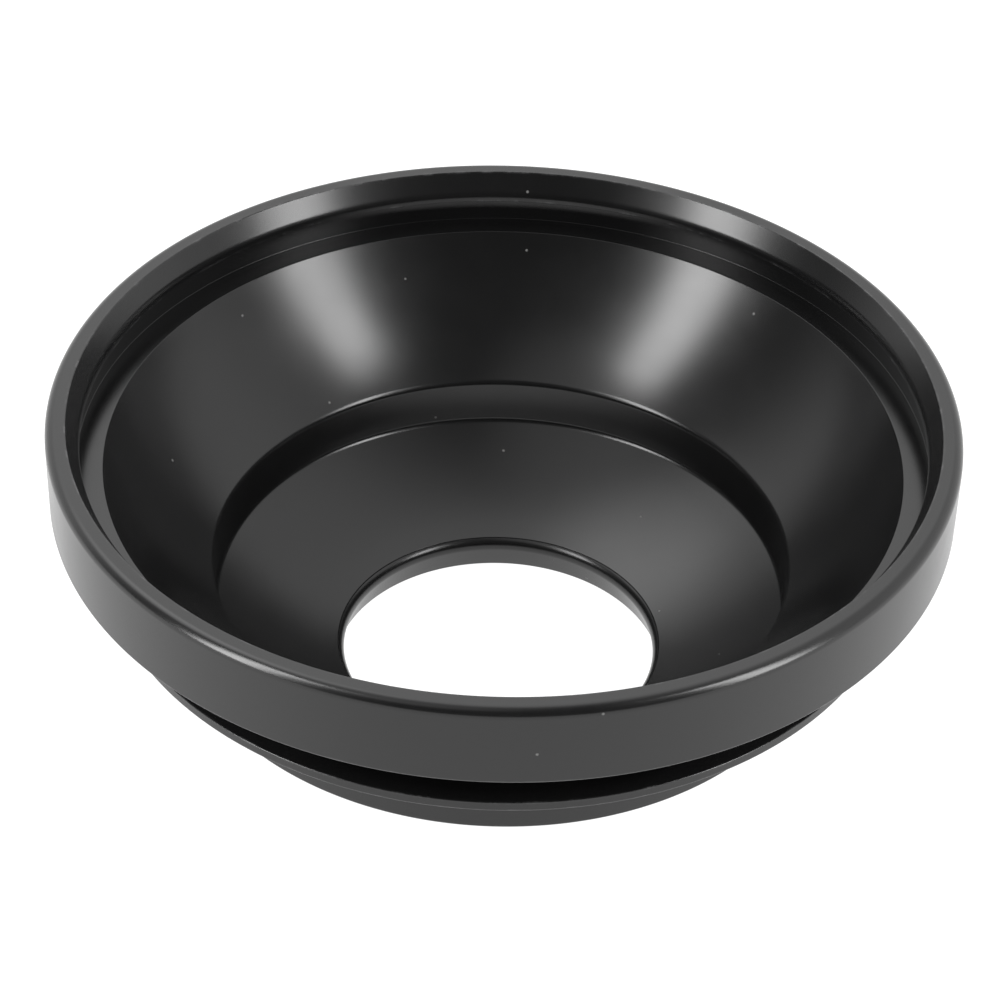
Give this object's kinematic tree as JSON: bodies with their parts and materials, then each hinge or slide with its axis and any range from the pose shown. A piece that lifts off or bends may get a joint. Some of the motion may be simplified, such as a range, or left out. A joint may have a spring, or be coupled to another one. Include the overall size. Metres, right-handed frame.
{
  "type": "lens hood",
  "caption": "Wide bowl-shaped turned-metal lens hood with a chamfered front rim, a stepped well, a round aperture and a thin mounting flange clamped by a lock ring.",
  "frame": {"origin": "centre of the rear foot face, on the optical axis", "axes": "+Z along the optical axis, from the rear foot out of the wide mouth; the rings are round, so X and Y are any two square directions, and the spanner slots of the retaining ring lie along X"},
  "size_m": [0.114, 0.114, 0.0431],
  "materials": {
    "body_black": "satin black anodised, fine turning marks",
    "rim_black": "satin black anodised, fine turning marks",
    "flange_black": "satin black anodised",
    "lock_ring_black": "satin black anodised",
    "floor_black": "satin black anodised, slightly more matt",
    "throat_black": "satin black anodised",
    "retainer_black": "satin black anodised"
  },
  "bodies": {
    "body": {"hood_body": "body_black", "mounting_flange": "flange_black", "floor_plate": "floor_black"},
    "front_rim": {"front_rim_ring": "rim_black"},
    "lock": {"lock_ring": "lock_ring_black"},
    "retainer": {"retaining_ring": "retainer_black"},
    "throat": {"throat_ring": "throat_black"}
  },
  "joints": [
    {"name": "front_rim_thread", "type": "hinge", "parent": "body", "child": "front_rim", "pos_m": [0, 0, 0.034], "axis": [0, 0, 1], "range_deg": [0, 1080]},
    {"name": "lock_ring_thread", "type": "hinge", "parent": "body", "child": "lock", "pos_m": [0, 0, 0.0165], "axis": [0, 0, 1], "range_deg": [-1440, 0]},
    {"name": "retaining_ring_thread", "type": "hinge", "parent": "body", "child": "retainer", "pos_m": [0, 0, 0.0092], "axis": [0, 0, 1], "range_deg": [-720, 0]},
    {"name": "throat_ring_thread", "type": "hinge", "parent": "body", "child": "throat", "pos_m": [0, 0, 0.0036], "axis": [0, 0, 1], "range_deg": [-720, 0]}
  ]
}
